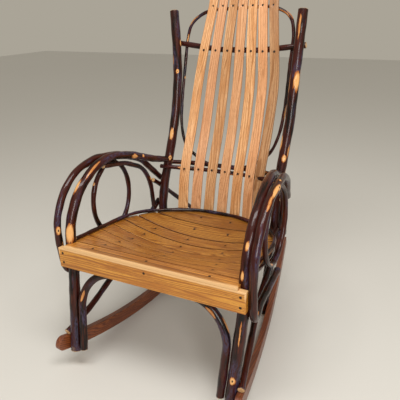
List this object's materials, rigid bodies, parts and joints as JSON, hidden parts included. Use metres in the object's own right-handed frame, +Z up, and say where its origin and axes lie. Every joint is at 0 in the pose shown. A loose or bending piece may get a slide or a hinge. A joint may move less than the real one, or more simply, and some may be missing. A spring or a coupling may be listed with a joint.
{
  "type": "rocking chair",
  "caption": "Rustic rocking chair of bent bark saplings with looped arms, a dished slat seat, a tall slat back and arched rockers.",
  "frame": {"origin": "on the floor, midway between the rockers, where they touch it with the empty chair at rest", "axes": "+Z up, -Y towards the front of the seat, +X towards the sitter's left"},
  "size_m": [0.6196, 0.8597, 1.1663],
  "materials": {
    "hickory_bark": "hickory saplings with the bark left on, varnished",
    "stick_wood": "straight hickory sticks with the bark left on",
    "oak_seat": "oak slats, golden varnish",
    "oak_back": "oak slats, honey varnish",
    "oak_apron": "oak board, golden varnish",
    "oak_rocker": "oak boards, red brown varnish",
    "screw_steel": "dark steel screw heads"
  },
  "bodies": {
    "root": {"apron": "oak_apron", "apron_screws": "screw_steel", "arm_brace_left": "hickory_bark", "arm_brace_right": "hickory_bark", "arm_hoop_left": "hickory_bark", "arm_hoop_right": "hickory_bark", "arm_oval_left": "hickory_bark", "arm_oval_right": "hickory_bark", "back_hoop": "hickory_bark", "back_screws": "screw_steel", "back_slat_1": "oak_back", "back_slat_2": "oak_back", "back_slat_3": "oak_back", "back_slat_4": "oak_back", "back_slat_5": "oak_back", "back_slat_6": "oak_back", "back_slat_7": "oak_back", "front_arch": "hickory_bark", "leg_arm_left": "hickory_bark", "leg_arm_right": "hickory_bark", "low_rung": "hickory_bark", "lumbar_bar": "hickory_bark", "lumbar_rung": "hickory_bark", "rear_diagonal_left": "hickory_bark", "rear_diagonal_right": "hickory_bark", "rear_post_left": "hickory_bark", "rear_post_right": "hickory_bark", "rocker_left": "oak_rocker", "rocker_right": "oak_rocker", "seat_rail": "hickory_bark", "seat_screws": "screw_steel", "seat_slat_1": "oak_seat", "seat_slat_2": "oak_seat", "seat_slat_3": "oak_seat", "seat_slat_4": "oak_seat", "seat_slat_5": "oak_seat", "seat_slat_6": "oak_seat", "seat_slat_7": "oak_seat", "seat_slat_8": "oak_seat", "seat_stick_1": "stick_wood", "seat_stick_2": "stick_wood", "seat_stick_3": "stick_wood", "seat_trim": "hickory_bark", "side_brace_left": "hickory_bark", "side_brace_right": "hickory_bark", "upper_rung": "hickory_bark"}
  },
  "joints": []
}
